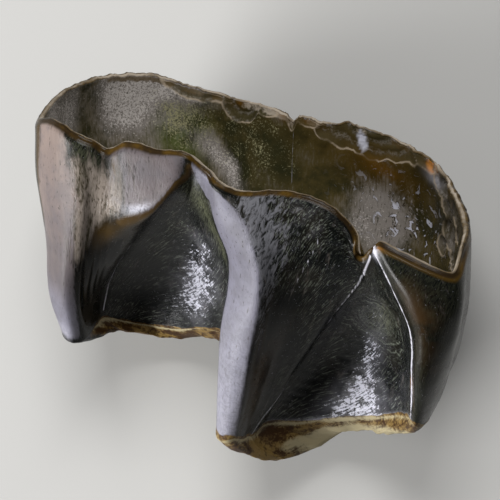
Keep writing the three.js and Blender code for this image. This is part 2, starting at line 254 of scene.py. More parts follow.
# Stretches of the wall from one rail to another, and over how many rails their ends ease
stretches = {
    "frontEdge": (1.25, 1.6, 0.12),
    "front": (-2.0, 6.0, 0.5),
    "trough": (3.6, 6.9, 0.5),
    "firstValley": (8.0, 15.2, 0.8),
    "leather": (17.5, 21.0, 0.7),
    "flutes": (18.4, 22.2, 0.4),
    "flank": (18.6, 21.5, 0.6),
    "secondValley": (20.5, 28.0, 0.7),
    "swirl": (23.2, 27.6, 0.6),
    "valleyCrest": (23.0, 28.2, 0.6),
    "backEnd": (28.6, 33.5, 0.5),
    "backRim": (28.6, 33.4, 0.4),
    "rightFlakes": (33.9, 35.7, 0.2),
}


# Distance in millimetres from the points to a line drawn on the wall through (rail, depth) places
def lineDistance(points, places):
    places = np.array(places, float)
    s = np.linspace(0, len(places) - 1, 16 * len(places))
    route = spline(places, s, False)
    line = wallAt(np.mod(route[:, 0], railCount), np.clip(route[:, 1:], 0, 1))[:, 0]
    flat = points.reshape(-1, 3)
    nearest = np.full(len(flat), 1e9)
    for p in line:
        nearest = np.minimum(nearest, ((flat - p) ** 2).sum(1))
    return np.sqrt(nearest).reshape(points.shape[:-1])


# Where the edge of a zone runs, from (edge, place) pairs with rising places, joined by straight lines
def edgeAt(places, along):
    places = np.array(places, float)
    return np.interp(along, places[:, 1], places[:, 0])


# Breaks along the rim and the crest: the rail, half width in rails, and the share of the column lost (less
# than 0 where the edge stands higher)
rimBreaks = [(41.2, 0.5, 0.006), (40.2, 0.5, 0.010), (38.42, 0.22, 0.020), (37.6, 0.4, 0.010),
             (36.6, 1.7, -0.006), (34.9, 0.7, -0.010), (42.4, 1.3, -0.010)]
crestBreaks = [(35.4, 1.6, 0.070), (39.1, 0.9, 0.025), (42.6, 1.0, 0.055), (41.0, 1.4, 0.015),
               (20.5, 1.0, 0.012), (12.2, 1.2, 0.012)]
ragged = {
    "tongueRim": 0.003,      # unevenness of the rim, as a share of the column
    "cheekRim": 0.008,
    "step": 0.8,             # millimetres between the bumps
}


# What the breaks take off each column: lost * (1 - r * r) where r, the distance in half widths, is under 1
def lostAt(breaks):
    return sum(lost * np.maximum(0, 1 - ((around - rail) / half) ** 2) for rail, half, lost in breaks)


drop = lostAt(rimBreaks)
stop = 1 - lostAt(crestBreaks)
wave = np.stack([across / ragged["step"], np.zeros(columnTotal)], -1)
cheekSide = ease(around, tongueCount - 1, tongueCount) * (1 - ease(around, 43.2, 43.9))
unevenness = ragged["tongueRim"] + (ragged["cheekRim"] - ragged["tongueRim"]) * cheekSide
drop = drop + unevenness * (0.5 * noise(wave, 3) + 0.35 * noise(wave * 2.7, 4))
rowShare = np.linspace(0, 1, crown["outerRows"] + 1)
rowShare = rowShare - crown["endRows"] * np.sin(2 * math.pi * rowShare) / (2 * math.pi)
t = np.broadcast_to(rowShare[None], (columnTotal, len(rowShare)))
outer = wallAt(around, drop[:, None] + (stop - drop)[:, None] * t)
columnLength = np.linalg.norm(np.diff(outer, axis=1), axis=2).sum(1)[:, None]
# Places on the wall in millimetres: round the ring, and down from the rim
acrossGrid = np.broadcast_to(across[:, None], t.shape)
downGrid = t * columnLength


# Noise drawn out down the wall: each grain is width millimetres across and length long
def grain(width, length, seed, lean=0.0):
    return noise(np.stack([(acrossGrid + lean * downGrid) / width, downGrid / length], -1), seed)


# Heights in millimetres, where the note says nothing else
relief = {
    "swell": [(0.05, 3.1, 11), (0.015, 0.9, 12)],    # slow unevenness: height, size, seed
    "flutes": 0.30,          # grooves below the rim on the middle pillar's flank
    "fluteLean": 0.35,       # millimetres across for each one down
    "trough": 0.14,          # fine grooves between the front pillar and its facet
    # height and half width: a rounded lip below the facet, a groove beside the middle pillar's face and
    # thin raised lines in the folds
    "along": {"facetLip": (0.10, 0.55), "crack": (-0.22, 0.3), "firstCrease": (0.12, 0.28),
              "secondCrease": (0.12, 0.28)},
    "backEdge": 0.20,        # sharp edge of the back pillar
    "speckle": 0.05,         # rough patch in the first valley
    "swirl": 0.06,           # growth lines in the second valley
    "swirlAt": (25.4, 0.48),     # rail and depth of their middle
    "swirlRings": 5.2,       # radians in a millimetre
    "cavityPits": 0.22,      # pits of the wet-looking patch
    "flakeWaves": 0.16,      # ripples in a flake, as a share of its depth
    "flakeRipples": 6.5,     # radians in a millimetre
    "flakeEdge": [(0.13, 1.3, 30), (0.05, 0.5, 36)],     # unevenness of its edge, as a share of its size
}
lines = {
    "facetLip": [(10.4, 0.05), (9.9, 0.13), (9.3, 0.21), (8.7, 0.27), (8.0, 0.29), (7.3, 0.28),
                 (6.8, 0.31)],
    "crack": [(14.6, 0.17), (15.3, 0.28), (15.5, 0.42), (15.4, 0.6), (15.5, 0.76)],
    "firstCrease": [(8.4, 0.58), (8.6, 0.7), (8.9, 0.82), (8.6, 0.93)],
    "secondCrease": [(27.0, 0.03), (25.5, 0.06), (24.0, 0.16), (23.0, 0.28), (22.8, 0.45), (22.6, 0.66),
                     (22.2, 0.82), (21.3, 0.93), (20.7, 0.99)],
    "backEdge": [(28.2, 0.01), (28.4, 0.15), (28.5, 0.27), (28.4, 0.4), (28.1, 0.55), (27.9, 0.75),
                 (28.1, 0.98)],
    "strip": [(10.9, 0.1), (12.2, 0.17), (13.4, 0.23), (14.2, 0.33), (14.4, 0.5)],
    "flankLine": [(20.5, 0.1), (20.4, 0.23), (20.2, 0.30), (20.0, 0.35), (19.8, 0.41)],
    "endEdge": [(32.3, 0.08), (32.1, 0.2), (31.85, 0.35), (31.75, 0.5), (31.8, 0.7), (31.7, 0.85)],
}
toLine = {name: lineDistance(outer, places) for name, places in lines.items()}
fluted = between(u, *stretches["flutes"]) * (1 - ease(t, 0.16, 0.46))
troughed = between(u, *stretches["trough"]) * (1 - ease(t, 0.5, 0.9))
speckled = np.clip(1.3 * spot(u, t, 12.9, 0.72, 0.75, 0.24), 0, 1)
swirled = between(u, *stretches["swirl"]) * ease(t, 0.12, 0.4)
height = rough(outer, relief["swell"])
flutes = grain(0.75, 3.2, 21, relief["fluteLean"])
height = height - relief["flutes"] * fluted * np.maximum(0, flutes) ** 0.8
height = height - relief["trough"] * troughed * np.maximum(0, grain(0.6, 9.0, 22))
for name, (rise, halfWidth) in relief["along"].items():
    height = height + rise * np.exp(-(toLine[name] / halfWidth) ** 2)
height = height + relief["backEdge"] * np.exp(-toLine["backEdge"] / 0.3)
height = height + relief["speckle"] * speckled * noise(outer / np.array([0.45, 0.45, 0.9]), 23)
swirlCentre = wallAt(np.array(relief["swirlAt"][:1]), np.array([relief["swirlAt"][1:]]))[0, 0]
swirlRadius = np.linalg.norm(outer - swirlCentre, axis=2)
ringWave = np.sin(swirlRadius * relief["swirlRings"] + 3.0 * noise(outer / 1.8, 24))
height = height + relief["swirl"] * swirled * (0.5 * ringWave + grain(0.45, 4.0, 25))
# The outer wall rounds in towards the rim
height = height - crown["rimShoulder"] * (1 - 0.7 * cheekSide[:, None]) * np.exp(-(downGrid / 0.45) ** 2)
outward = -inwardOf(outer)
outer = outer + height[..., None] * outward
print("crown: outer wall worked out")

# Flakes struck off the inside of the rim: the rail, and in millimetres how far below the rim, half width,
# half height and depth
flakes = [
    (41.2, -0.2, 4.0, 1.3, 0.45), (40.05, 0.0, 2.6, 2.3, 0.55), (39.35, 0.0, 1.6, 0.9, 0.3),
    (38.42, 0.0, 0.9, 0.9, 0.4), (36.85, -0.2, 6.2, 3.0, 0.6), (37.95, -0.1, 1.8, 0.9, 0.35),
    (35.95, 0.0, 2.6, 1.0, 0.5), (35.5, 0.8, 2.6, 1.5, 0.45), (35.22, 2.7, 2.4, 1.2, 0.4),
    (35.05, 4.9, 3.0, 1.7, 0.55), (35.28, 7.2, 1.9, 1.0, 0.4), (34.85, 1.6, 1.9, 1.2, 0.5),
    (34.6, 3.5, 1.2, 0.8, 0.45), (34.7, 6.6, 1.6, 1.3, 0.55),
]

# The cavity wall: the outer wall moved in by the shell's thickness along smoothed directions, then drawn
# to the floor line with a power of the depth. A flake takes off deep * sqrt(1 - r * r), with r the
# distance from its middle in half widths and half heights; where two meet, the deeper one shows and a
# sharp ridge is left between them.
depth = np.linspace(0, 1, crown["innerRows"] + 1) ** 1.15
innerDown = np.broadcast_to(depth[None] * crown["cavityReach"], (columnTotal, len(depth)))
inner = wallAt(around, drop[:, None] + (1 - drop[:, None]) * innerDown)
inward = inwardOf(inner)
level = inward[:, 0] * [1, 1, 0]
inward[:, 0] = level / np.linalg.norm(level, axis=-1, keepdims=True)
for turn in range(crown["normalBlur"]):
    inward = (np.roll(inward, 1, 0) + 2 * inward + np.roll(inward, -1, 0)) / 4
inward /= np.linalg.norm(inward, axis=-1, keepdims=True)
thickness = crown["rimWall"] + (crown["deepWall"] - crown["rimWall"]) * ease(depth / crown["thickenBy"])
innerLength = np.concatenate([np.zeros((columnTotal, 1)),
                              np.cumsum(np.linalg.norm(np.diff(inner, axis=1), axis=2), 1)], 1)
flaked = np.zeros(innerDown.shape)
second = np.zeros(innerDown.shape)
flakeShine = np.zeros(innerDown.shape)
flakeEdge = np.full(innerDown.shape, farAway)
for rail, below, wide, high, deep in flakes:
    sideways = (across[:, None] - np.interp(rail, around, across)) / wide
    r = np.sqrt(sideways ** 2 + ((innerLength - below) / high) ** 2)
    r = r * (1 + rough(inner, relief["flakeEdge"]))
    size = min(wide, high)
    flakeEdge = np.minimum(flakeEdge, (r - 1) * size)
    ripple = np.sin(relief["flakeRipples"] * r * size)
    taken = deep * (1 + relief["flakeWaves"] * ripple) * np.sqrt(np.maximum(0, 1 - r * r))
    second = np.maximum(second, np.minimum(flaked, taken))
    flakeShine = np.where(taken > flaked, ease(ripple, 0.1, 0.9), flakeShine)
    flaked = np.maximum(flaked, taken)
flakeEdge = np.where(second > 0, np.maximum(flakeEdge, -1.8 * (flaked - second)), flakeEdge)
thickness = thickness[None] - flaked
pitted = np.clip(1.3 * spot(u, depth[None], 36.0, 0.36, 0.8, 0.17), 0, 1)
bumps = rough(inner, crown["cavityRough"])
bumps = bumps - relief["cavityPits"] * pitted * np.maximum(0, noise(inner / 0.75, 33) - 0.15)
inner = inner + (thickness + bumps)[..., None] * inward
floor = spline(floorLine, np.minimum(np.arange(columnTotal), columnTotal - np.arange(columnTotal))
               / halfColumns * (len(floorLine) - 1), False)
inner = inner + (depth ** crown["floorPull"])[None, :, None] * (floor[:, None] - inner)
print("crown: cavity worked out")


# Two triangles for each cell of a grid of vertex numbers, with the cell's texture places. closed joins the
# last column to the first, and turned flips the faces. Cells that have collapsed to a line are left out.
def gridFaces(ids, places, closed, turned):
    nextIds = np.roll(ids, -1, 0)
    nextPlaces = np.roll(places, -1, 0).copy()
    if closed:
        nextPlaces[-1, :, 0] += ringLength
    else:
        ids, nextIds, places, nextPlaces = ids[:-1], nextIds[:-1], places[:-1], nextPlaces[:-1]
    corner = [ids[:, :-1], ids[:, 1:], nextIds[:, 1:], nextIds[:, :-1]]
    place = [places[:, :-1], places[:, 1:], nextPlaces[:, 1:], nextPlaces[:, :-1]]
    order = [(0, 1, 2), (0, 2, 3)] if not turned else [(2, 1, 0), (3, 2, 0)]
    faces = np.concatenate([np.stack([corner[i].ravel() for i in o], -1) for o in order])
    uvs = np.concatenate([np.stack([place[i].reshape(-1, 2) for i in o], 1) for o in order])
    whole = (faces[:, 0] != faces[:, 1]) & (faces[:, 1] != faces[:, 2]) & (faces[:, 0] != faces[:, 2])
    return faces[whole], uvs[whole]


ringLength = across[1] - across[0] + across[-1]
outerRows = crown["outerRows"]
innerRows = crown["innerRows"]
facing = (columnTotal - np.arange(columnTotal)) % columnTotal
count = columnTotal * (outerRows + 1)
outerIds = np.arange(count).reshape(columnTotal, outerRows + 1)
innerIds = np.zeros((columnTotal, innerRows + 1), int)
innerIds[:, :innerRows] = count + np.arange(columnTotal * innerRows).reshape(columnTotal, innerRows)
count += columnTotal * innerRows
innerIds[:, innerRows] = count + np.minimum(np.arange(columnTotal), facing)
count += halfColumns + 1

# The rim: rows from the outer edge to the inner one over a low round top
rimSteps = np.linspace(0, 1, crown["rimRows"] + 1)[1:-1]
rimTop = outer[:, :1] + rimSteps[None, :, None] * (inner[:, :1] - outer[:, :1])
rimTop[..., 2] += crown["rimLift"] * np.sqrt(np.maximum(0, 1 - (2 * rimSteps - 1) ** 2))
rimTop = rimTop + rough(rimTop, crown["rimRough"])[..., None] * [0.3, 0.3, 1]
rimIds = np.zeros((columnTotal, crown["rimRows"] + 1), int)
rimIds[:, 0] = outerIds[:, 0]
rimIds[:, -1] = innerIds[:, 0]
rimIds[:, 1:-1] = count + np.arange(rimTop.shape[0] * rimTop.shape[1]).reshape(rimTop.shape[:2])
count += rimTop.shape[0] * rimTop.shape[1]

# The crest: each tongue column joined to the cheek column that faces it, over a low, broken bulge
crestSteps = np.linspace(0, 1, crown["crestRows"] + 1)[1:-1]
near = outer[1:halfColumns, outerRows]
far = outer[facing[1:halfColumns], outerRows]
width = np.linalg.norm(far - near, axis=1)
away = near - outer[1:halfColumns, outerRows - 2] + far - outer[facing[1:halfColumns], outerRows - 2]
away /= np.linalg.norm(away, axis=1, keepdims=True)
pillared = between(around[1:halfColumns, None], 14.5, 22.5, 0.8)
bulge = crown["crestBulge"] * (crown["crestFlat"] + (1 - crown["crestFlat"]) * pillared)
bulge = bulge * width[:, None] * 4 * crestSteps * (1 - crestSteps)
crest = near[:, None] + crestSteps[None, :, None] * (far - near)[:, None]
broken = rough(crest, crown["crestRough"]) * np.minimum(1, width[:, None] / 2)
broken = broken * np.sqrt(4 * crestSteps * (1 - crestSteps))
crest = crest + (bulge + broken)[..., None] * away[:, None]
crestIds = np.zeros((halfColumns + 1, crown["crestRows"] + 1), int)
crestIds[:] = outerIds[:halfColumns + 1, outerRows][:, None]
crestIds[:, -1] = outerIds[facing[:halfColumns + 1], outerRows]
crestIds[1:-1, 1:-1] = count + np.arange(crest.shape[0] * crest.shape[1]).reshape(crest.shape[:2])
count += crest.shape[0] * crest.shape[1]

vertices = np.concatenate([
    outer.reshape(-1, 3), inner[:, :innerRows].reshape(-1, 3), inner[:halfColumns + 1, innerRows],
    rimTop.reshape(-1, 3), crest.reshape(-1, 3),
])


# Texture places in millimetres: round the ring, and down from the rim (up from it on the inside)
def placesFor(columnsAcross, downwards):
    return np.stack(np.broadcast_arrays(columnsAcross[:, None], downwards), -1).astype(float)


rimShare = np.linspace(0, 1, crown["rimRows"] + 1)[None]
crestAcross = np.linspace(0, 1, crown["crestRows"] + 1)[None]
parts = [
    gridFaces(outerIds, placesFor(across, downGrid), True, False),
    gridFaces(innerIds, placesFor(across, -1.5 - innerLength), True, True),
    gridFaces(rimIds, placesFor(across, -1.3 * rimShare), True, True),
    gridFaces(crestIds, placesFor(across[:halfColumns + 1], 30 + 3 * crestAcross), False, False),
]
faces = np.concatenate([part[0] for part in parts])
uvs = np.concatenate([part[1] for part in parts])
print("crown: %d vertices, %d triangles" % (len(vertices), len(faces)))

# Where each finish shows, from 0 to 1, and distances in millimetres: numbers on the vertices that the
# material mixes by
fieldNames = (
    "inside", "crest", "pale", "bloom", "tan", "glint", "olive", "brown", "amber",
    "wet", "leather", "warm", "line", "lip", "flake", "dust", "curl", "hair",
)
field = {name: np.zeros(count) for name in fieldNames}
for name in ("line", "lip", "flake", "curl"):
    field[name] += farAway
# Edges of the zones: (rail, depth) places for an edge that runs down the wall, and (depth, rail) places for
# facetLow and tanLow, which run along it
zones = {
    "frontLeft": [(1.7, 0.0), (1.55, 0.25), (1.4, 0.42), (0.9, 0.6), (0.9, 0.9)],
    "frontRight": [(3.3, 0.0), (3.9, 0.2), (4.1, 0.3), (3.8, 0.45), (3.8, 0.6), (3.9, 0.75), (3.8, 0.97)],
    "facetLow": [(0.23, 6.8), (0.25, 7.4), (0.265, 8.0), (0.24, 8.6), (0.19, 9.1), (0.10, 9.6),
                 (0.0, 10.0)],
    "tanLow": [(0.62, 3.6), (0.56, 4.7), (0.46, 5.1), (0.38, 5.8), (0.31, 6.4), (0.26, 6.9)],
    "middleLeft": [(10.6, 0.02), (11.8, 0.07), (13.6, 0.12), (15.2, 0.19), (15.8, 0.27), (15.9, 0.45),
                   (15.9, 1.0)],
    "middleRight": [(13.0, 0.0), (16.4, 0.05), (17.3, 0.10), (17.8, 0.2), (18.0, 0.45), (18.1, 0.6),
                    (18.0, 0.77), (18.15, 1.0)],
}
# Soft spots of each finish, outside and in the cavity: strength, rail, depth, spread in rails and in depth
outerSpots = {
    "sparkle": [(1.0, 12.6, 0.74, 0.8, 0.2), (0.4, 12.6, 0.52, 0.9, 0.14)],
    "valleyGlint": [(0.8, 25.5, 0.93, 0.95, 0.12), (0.8, 25.3, 0.74, 0.5, 0.22)],
    "valleyGlintHaze": [(0.3, 25.0, 0.45, 0.8, 0.12)],
    "olive": [(0.2, 0.9, 0.2, 0.45, 0.3), (0.5, 4.6, 0.06, 1.0, 0.1), (0.8, 25.6, 0.47, 0.7, 0.09)],
    "brown": [(0.9, 19.2, 0.78, 0.8, 0.16), (0.9, 30.1, 0.42, 0.9, 0.2), (0.6, 8.6, 0.4, 0.9, 0.1)],
    "amber": [(0.5, 6.5, 0.08, 0.2, 0.1), (0.42, 6.0, 0.42, 1.2, 0.10), (0.3, 7.6, 0.32, 1.0, 0.05),
              (0.3, 28.9, 0.03, 0.8, 0.06), (0.5, 13.0, 0.03, 1.8, 0.035)],
    "amberBesideEdge": [(1.5, 27.2, 0.79, 0.8, 0.05), (0.4, 28.6, 0.8, 0.6, 0.12)],
    "pale": [(1.2, 28.2, 0.02, 0.5, 0.06), (0.75, 7.45, 0.235, 0.5, 0.02), (0.3, 2.3, 0.95, 0.6, 0.04),
             (0.35, 12.0, 0.07, 0.9, 0.05)],
}
cavitySpots = {
    "sheen": [(1.1, 42.6, 0.12, 0.9, 0.24), (1.0, 0.2, 0.09, 0.5, 0.2), (1.1, 36.6, 0.41, 0.5, 0.15),
              (0.6, 41.6, 0.04, 1.0, 0.10)],
    "olive": [(1.1, 41.4, 0.3, 0.55, 0.16)],
    "amber": [(0.5, 36.4, 0.19, 0.8, 0.13), (1.4, 35.85, 0.01, 0.18, 0.035), (0.25, 38.0, 0.08, 3.0, 0.12),
              (0.2, 37.1, 0.2, 0.7, 0.25), (0.7, 38.8, 0.01, 0.3, 0.03), (0.6, 40.2, 0.01, 0.3, 0.05),
              (0.5, 37.9, 0.01, 0.4, 0.03)],
    "brown": [(0.7, 38.9, 0.25, 0.8, 0.3)],
    "dust": [(0.65, 41.3, 0.22, 0.7, 0.2), (0.42, 39.4, 0.25, 1.3, 0.28)],
    "chipHighlight": [(0.45, 35.75, 0.06, 0.2, 0.03)],
}


# All the spots of one finish: strength * spot, added up
def spotted(places, depths):
    return sum(strength * spot(u, depths, *where) for strength, *where in places)


# The pale faces of the front pillar, its facet and the middle pillar, where a reflection of the light is
# painted, and the tan trough between the first two
facetLow = edgeAt(zones["facetLow"], u)
tanLow = edgeAt(zones["tanLow"], u)
edgeSoft = 1.0 - 0.7 * ease(t, 0.25, 0.6)
frontFace = ease(u - edgeAt(zones["frontLeft"], t), -0.3, 0.15)
frontFace = frontFace * (1 - ease(u - edgeAt(zones["frontRight"], t), -edgeSoft, edgeSoft * 0.5))
frontFace = frontFace * (1 - ease(t, 0.95, 1.0))
facetFace = ease(u, 4.8, 8.0) * (1 - ease(u, 9.0, 9.9)) * (1 - ease(t - facetLow, -0.035, 0.015))
middleFace = ease(u - edgeAt(zones["middleLeft"], t), -0.15, 0.15)
middleSoft = 0.4 - 0.2 * ease(t, 0.5, 0.7)
middleFace = middleFace * (1 - ease(u - edgeAt(zones["middleRight"], t), -middleSoft, middleSoft))
tanFace = ease(u, 2.7, 4.4) * (1 - ease(u, 6.2, 8.6)) * (1 - ease(t - tanLow, -0.12, 0.05))
tanFace = tanFace * ease(t, 0.0, 0.2)
# The leathery patch is stronger and reaches deeper on its left side
leatherDepth = t - 0.25 * (1 - ease(u, 18.4, 19.4))
leather = between(u, *stretches["leather"]) * (1 - ease(leatherDepth, 0.15, 0.55))
leather = leather * (1 - 0.9 * ease(u, 18.4, 20.2))
# Growth lines show in both valleys and on the middle pillar's flank
valleys = between(u, *stretches["firstValley"]) * ease(t, 0.1, 0.3)
valleys = valleys + between(u, *stretches["secondValley"]) * ease(t, 0.05, 0.2)
valleys = valleys + between(u, *stretches["flank"]) * (1 - ease(t, 0.25, 0.6))
cheekCloud = noise(outer / 6.0, 64)

# Outer wall: what each finish gets
turned = np.where(u > 39, u - railCount, u)        # rails counted through the left end without a jump
fromCrest = (1 - t) * columnLength - 0.4 * np.maximum(0, 0.7 + noise(outer / 1.6, 62))
field["crest"][outerIds] = np.exp(-np.maximum(0, fromCrest) / 0.15) * ease(u, 5.0, 7.0)
# The pale faces get a painted reflection of the light
field["bloom"][outerIds] = np.clip(frontFace + 0.85 * facetFace + middleFace, 0, 1)
# How warm that painted reflection is: creamy near the rim, bluish towards the crest
frontTone = 0.55 + 0.45 * (1 - ease(t, 0.15, 0.55)) - 0.45 * ease(t, 0.5, 0.9)
field["warm"][outerIds] = np.clip(frontTone * between(turned, *stretches["front"]) + 0.5 * facetFace, 0, 1)
field["tan"][outerIds] = np.clip(tanFace, 0, 1)
# Painted highlights: sparkle on the first valley's rough patch, glints and a haze of them low in the second
# valley, and glints on the flute ridges
sparkling = spotted(outerSpots["sparkle"], t) * (1 + 0.4 * noise(outer / 1.3, 68))
valleyGlint = spotted(outerSpots["valleyGlint"], t) * (1 + 0.4 * noise(outer / 1.1, 67))
valleyGlint = valleyGlint + spotted(outerSpots["valleyGlintHaze"], t)
ridges = ease(-flutes, 0.0, 0.6) * fluted * ease(u, 19.0, 20.5)
field["glint"][outerIds] = np.clip(sparkling + valleyGlint + 0.12 * ridges, 0, 1)
field["leather"][outerIds] = np.clip(leather, 0, 1)
field["hair"][outerIds] = np.clip(valleys, 0, 1)
field["curl"][outerIds] = np.where((u > 20.5) & (u < 29), swirlRadius, farAway)
field["olive"][outerIds] = np.clip(
    spotted(outerSpots["olive"], t) + np.exp(-(toLine["strip"] / 1.3) ** 2) * (1 - middleFace)
    + 0.15 * between(u, *stretches["backEnd"])
    + 0.35 * ease(cheekCloud, 0.0, 0.8) * cheekSide[:, None], 0, 1)
field["brown"][outerIds] = np.clip(
    spotted(outerSpots["brown"], t) + 0.7 * ease(-cheekCloud, -0.2, 0.7) * cheekSide[:, None], 0, 1)
besideEdge = np.exp(-((toLine["backEdge"] - 0.75) / 0.4) ** 2)
field["amber"][outerIds] = np.clip(
    spotted(outerSpots["amber"], t) + besideEdge * spotted(outerSpots["amberBesideEdge"], t)
    + 0.4 * between(u, *stretches["backRim"]) * (1 - ease(t, 0.025, 0.075))
    + 0.35 * between(u, *stretches["frontEdge"]) * (1 - ease(t, 0.4, 0.8)), 0, 1)
# Pale marks: painted highlights at the back pillar's tip, the facet's lip, the front pillar's tip, near the
# middle pillar's top and low on its face; and the crest's cream in the second valley
field["pale"][outerIds] = np.clip(
    spotted(outerSpots["pale"], t) + 0.26 * middleFace * ease(t, 0.4, 0.95)
    + 0.7 * between(u, *stretches["valleyCrest"]) * np.exp(-((1 - t) * columnLength / 0.5) ** 2), 0, 1)
field["line"][outerIds] = np.minimum.reduce([
    toLine["backEdge"] + 0.04 - 0.22 * ease(t, 0.36, 0.55) * (1 - ease(t, 0.85, 0.98))
    - 0.14 * (1 - ease(t, 0.04, 0.12)) + 0.07 * noise(outer / 0.5, 70),
    toLine["secondCrease"] + 0.03,
    toLine["endEdge"] + 0.12 + 0.06 * noise(outer / 0.8, 71),
    toLine["firstCrease"] + 0.06,
    toLine["flankLine"] + 0.08,
])
field["lip"][outerIds] = toLine["facetLip"]

# Cavity wall: what each finish gets. The chip's glint, a painted highlight, is a small bright diamond that
# leans, and the crack a thin line that ends at a depth: their rails, and the rest in millimetres or as a
# share of the depth.
chipGlintPlace = {"at": 36.93, "down": 1.35, "lean": 0.28, "halfWidth": 0.55, "straight": 0.45, "taper": 0.9}
cavityCrack = {"at": 38.35, "wander": 0.15, "ends": (0.34, 0.42)}
s = np.broadcast_to(depth[None], innerDown.shape)
field["inside"][innerIds] = 1
# One spot of the sheen leans: its rail falls by 4.5 from top to bottom
sheen = spotted(cavitySpots["sheen"], s) + spot(u + 4.5 * (s - 0.40), s, 40.35, 0.42, 0.62, 0.15)
sheen = sheen * (1 - 0.75 * ease(u, 42.8, 43.35) * (1 - ease(u, 43.5, 43.8)) * (1 - ease(s, 0.3, 0.5)))
sheen = sheen * (1 + 0.45 * noise(inner / 2.2, 66)) + 0.16 * ease(u, 41.0, 42.5)
belowChipGlint = innerLength - chipGlintPlace["down"]
besideChipGlint = across[:, None] - np.interp(chipGlintPlace["at"], around, across) + chipGlintPlace["lean"] * belowChipGlint
chipGlint = 1 - np.abs(besideChipGlint) / chipGlintPlace["halfWidth"]
chipGlint = chipGlint - np.maximum(0, np.abs(belowChipGlint) - chipGlintPlace["straight"]) / chipGlintPlace["taper"]
# The cavity's painted sheen
field["bloom"][innerIds] = np.clip(sheen, 0, 1)
field["olive"][innerIds] = np.clip(spotted(cavitySpots["olive"], s), 0, 1)
field["amber"][innerIds] = np.clip(spotted(cavitySpots["amber"], s), 0, 1)
field["wet"][innerIds] = pitted
field["glint"][innerIds] = flakeShine * ease(flaked, 0.05, 0.2)
# Where the flakes at the right end get a painted sheen
field["tan"][innerIds] = 0.8 * between(u, *stretches["rightFlakes"]) * (1 - ease(s, 0.38, 0.46))
field["brown"][innerIds] = spotted(cavitySpots["brown"], s)
dusty = spotted(cavitySpots["dust"], s) + 0.22
field["dust"][innerIds] = np.clip(dusty * (1 + 0.5 * noise(inner / 1.4, 69)), 0, 1) * ease(u, 36.5, 38.5)
# Painted highlights: the glint on the chip and on a smooth chip below the amber one
field["pale"][innerIds] = np.clip(np.maximum(chipGlint * 4, spotted(cavitySpots["chipHighlight"], s)), 0, 1)
field["flake"][innerIds] = flakeEdge
crackAt = np.interp(cavityCrack["at"], around, across) + cavityCrack["wander"] * noise(inner / 2.0, 34)
crackLine = np.abs(across[:, None] - crackAt) + 5 * ease(s, *cavityCrack["ends"])
field["line"][innerIds] = crackLine + 0.145 + 0.05 * noise(inner / 0.6, 35)
# The rim turns from wall to cavity, and the broken crest is pale along its edges
field["inside"][rimIds[:, 1:]] = np.linspace(0.3, 0.7, crown["rimRows"])[None]
field["flake"][rimIds] = 5 * (1 - rimShare) + np.abs(flakeEdge[:, :1])
crestAround = around[:halfColumns + 1, None]
crestShare = ease(crestAround, 3.5, 6.5)
crestPale = crestAcross + 0.25 * ease(crestAround, 23.5, 25.0)
crestPale = 0.9 * ease(crestAround, 21, 23.5) * ease(crestPale, 0.3, 0.65)
crestPale = crestPale + 0.7 * np.exp(-(crestAcross / 0.10) ** 2)
crestPale = crestPale + 0.6 * (1 - ease(crestAround, 16, 18)) * ease(crestAcross, 0.45, 0.9)
field["crest"][crestIds] = crestShare
field["pale"][crestIds] = crestPale * crestShare
field["amber"][crestIds] = crestShare * spot(crestAround, crestAcross, 19.8, 0.5, 1.6, 0.45)


# A mesh from arrays of points, triangles and each corner's texture place
def makeMesh(name, points, triangles, cornerPlaces):
    mesh = bpy.data.meshes.new(name)
    mesh.vertices.add(len(points))
    mesh.vertices.foreach_set("co", points.astype(np.float32).ravel())
    mesh.loops.add(3 * len(triangles))
    mesh.loops.foreach_set("vertex_index", triangles.astype(np.int32).ravel())
    mesh.polygons.add(len(triangles))
    mesh.polygons.foreach_set("loop_start", np.arange(0, 3 * len(triangles), 3, dtype=np.int32))
    layer = mesh.uv_layers.new(name="wall")
    layer.data.foreach_set("uv", cornerPlaces.astype(np.float32).ravel())
    mesh.update()
    mesh.validate()
    mesh.polygons.foreach_set("use_smooth", np.ones(len(triangles), bool))
    piece = bpy.data.objects.new(name, mesh)
    bpy.context.scene.collection.objects.link(piece)
    return piece


# Laid down as the solid lies: the upright crown leaned about X and rolled about Y, then moved
rolled = Matrix.Rotation(math.radians(-crown["rollOver"]), 3, "Y")
lay = np.array(rolled @ Matrix.Rotation(math.radians(-crown["leanBack"]), 3, "X"))
shift = np.array(crown["laidAt"])
laid = vertices @ lay.T + shift
laid[:, 2] = np.maximum(laid[:, 2], 0)             # nothing reaches below the floor


# From the upright frame, in millimetres, to the scene: lay * point + shift
def toWorld(point):
    return Vector(((np.array(point) @ lay.T) + shift) * metres)


# The texture places go over in centimetres
tooth = makeMesh("crown", laid * metres, faces, uvs / 10)
for first in range(0, len(fieldNames), 3):
    names = fieldNames[first:first + 3]
    attribute = tooth.data.attributes.new("_".join(names), "FLOAT_COLOR", "POINT")
    rgba = np.ones((count, 4), np.float32)
    rgba[:, :3] = np.stack([field[name] for name in names], -1)
    attribute.data.foreach_set("color", rgba.ravel())
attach(tooth, "root")
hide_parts("tooth_crown")
print("crown: mesh made")

